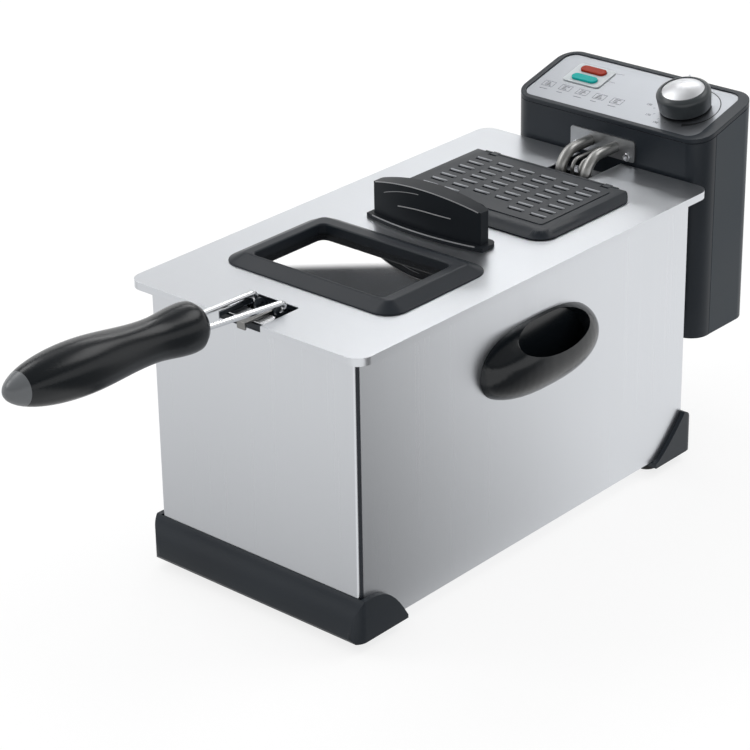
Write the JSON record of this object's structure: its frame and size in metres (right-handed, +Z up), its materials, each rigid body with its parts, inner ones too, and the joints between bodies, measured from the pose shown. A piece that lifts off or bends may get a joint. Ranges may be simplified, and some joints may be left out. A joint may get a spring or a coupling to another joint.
{
  "type": "deep fryer",
  "caption": "Countertop deep fryer: steel housing and lift-out tank, hang-on heating unit with thermostat, wire basket with folding handle, lid with window and filter cover",
  "frame": {"origin": "on the surface the fryer stands on, below the middle of its overall length and width", "axes": "+Z up, -Y to the front where the basket handle reaches out, +X to the right seen from behind the front panel's left edge, that is the side with the knob"},
  "size_m": [0.2256, 0.6406, 0.2693],
  "materials": {
    "brushed_steel": "satin",
    "bright_steel": "polished",
    "heating_tube": "satin",
    "black_plastic": "satin",
    "grey_plastic": "satin",
    "black_gloss": "gloss",
    "grey_cap": "satin",
    "rubber": "matte",
    "pale_plastic": "satin",
    "thermostat_body": "matte",
    "red_lens": "gloss",
    "green_lens": "gloss",
    "red_button": "satin",
    "tinted_glass": "clear"
  },
  "bodies": {
    "housing": {"front_panel": "brushed_steel", "side_panel_left": "brushed_steel", "side_panel_right": "brushed_steel", "rear_panel": "brushed_steel", "base_plate": "brushed_steel", "corner_strip_left": "black_plastic", "corner_strip_right": "black_plastic", "top_frame": "black_plastic", "front_trim": "black_plastic", "rear_shoe_left": "black_plastic", "rear_shoe_right": "black_plastic", "foot_front_left": "rubber", "foot_front_right": "rubber", "foot_rear_left": "rubber", "foot_rear_right": "rubber", "side_handle_left": "black_gloss", "side_handle_right": "black_gloss", "side_handle_screws": "bright_steel", "rear_guide": "black_plastic"},
    "tank": {"oil_tank": "bright_steel"},
    "control_unit": {"front_shell": "black_plastic", "rear_cover": "grey_plastic", "top_bezel": "black_plastic", "panel_plate": "brushed_steel", "cover_screws": "bright_steel", "lamp_frame": "pale_plastic", "lamp_lens_red": "red_lens", "lamp_lens_green": "green_lens", "lamp_holder": "pale_plastic", "thermostat": "thermostat_body", "terminal_block": "pale_plastic", "thermal_cutout": "thermostat_body", "cord_gland": "rubber", "element_flange": "bright_steel", "flange_screws": "bright_steel", "heating_element": "heating_tube", "thermostat_sensor": "bright_steel", "cutout_sensor": "bright_steel", "sensor_clip": "brushed_steel"},
    "knob": {"knob": "black_gloss", "knob_cap": "bright_steel", "knob_shaft": "bright_steel"},
    "reset": {"reset_button": "red_button"},
    "basket": {"basket_mesh": "bright_steel", "basket_frame": "bright_steel", "basket_bracket": "grey_plastic", "basket_hook": "brushed_steel"},
    "basket_handle": {"handle_wires": "bright_steel", "handle_grip": "black_gloss", "grip_end_cap": "grey_cap"},
    "lid": {"lid_sheet": "brushed_steel", "lid_liner": "black_plastic", "window_frame": "black_plastic", "window_glass": "tinted_glass", "lid_pull": "black_gloss", "lid_pull_screws": "bright_steel", "filter_mat": "bright_steel", "hinge_ears": "black_plastic", "hinge_pins": "bright_steel"},
    "filter_cover": {"filter_cover": "black_plastic"}
  },
  "joints": [
    {"name": "tank_lift", "type": "slide", "parent": "housing", "child": "tank", "axis": [0, 0, 1], "range_m": [0, 0.19]},
    {"name": "control_unit_lift", "type": "slide", "parent": "tank", "child": "control_unit", "axis": [0, 0, 1], "range_m": [0, 0.17]},
    {"name": "basket_lift", "type": "slide", "parent": "control_unit", "child": "basket", "axis": [0, 0, 1], "range_m": [0, 0.14]},
    {"name": "lid_lift", "type": "slide", "parent": "basket", "child": "lid", "axis": [0, 0, 1], "range_m": [0, 0.1]},
    {"name": "handle_fold", "type": "hinge", "parent": "basket", "child": "basket_handle", "pos_m": [0, -0.09819, 0.2108], "axis": [-1, 0, 0], "range_deg": [0, 65]},
    {"name": "filter_cover_hinge", "type": "hinge", "parent": "lid", "child": "filter_cover", "pos_m": [0, 0.19196, 0.21515], "axis": [-1, 0, 0], "range_deg": [0, 75]},
    {"name": "knob_turn", "type": "hinge", "parent": "control_unit", "child": "knob", "pos_m": [0.051, 0.28173, 0.25071], "axis": [0, -0.2453, 0.9694], "range_deg": [0, 270]},
    {"name": "reset_press", "type": "slide", "parent": "control_unit", "child": "reset", "axis": [0, -1, 0], "range_m": [0, 0.0015], "stiffness_N_per_m": 400}
  ]
}
